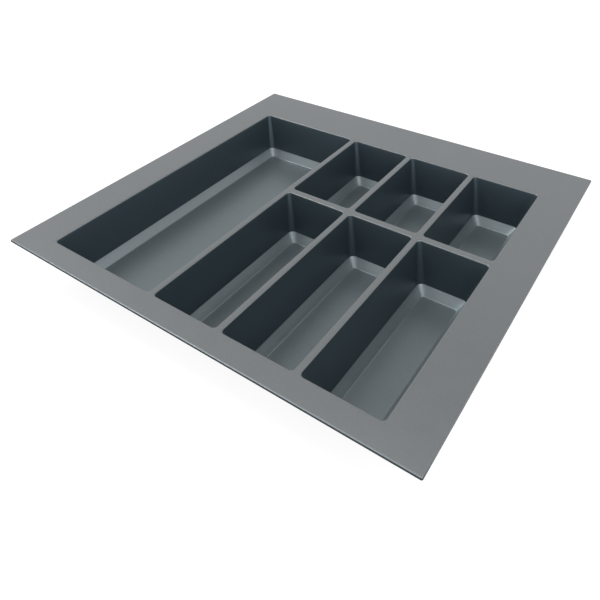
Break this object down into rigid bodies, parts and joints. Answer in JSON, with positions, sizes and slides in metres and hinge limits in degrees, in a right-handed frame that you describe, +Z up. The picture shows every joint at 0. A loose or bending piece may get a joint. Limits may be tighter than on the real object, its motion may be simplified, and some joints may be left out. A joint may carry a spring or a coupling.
{
  "type": "cutlery tray",
  "caption": "Vacuum-formed grey plastic drawer insert with a wide flat trim-to-fit rim, a long compartment on the left and two rows of drafted cutlery compartments beside it.",
  "frame": {"origin": "on the surface that the compartments stand on, below the middle of the rim", "axes": "+X to the right along the front edge, +Y to the back, +Z up, out of the compartments"},
  "size_m": [0.556, 0.54, 0.066],
  "materials": {
    "grey_sheet": "satin mid grey, faintly metallic, fine even grain"
  },
  "bodies": {
    "root": {"front_flange": "grey_sheet", "back_flange": "grey_sheet", "left_flange": "grey_sheet", "right_flange": "grey_sheet", "long_compartment": "grey_sheet", "front_left_compartment": "grey_sheet", "back_left_compartment": "grey_sheet", "front_middle_compartment": "grey_sheet", "back_middle_compartment": "grey_sheet", "front_right_compartment": "grey_sheet", "back_right_compartment": "grey_sheet"}
  },
  "joints": []
}
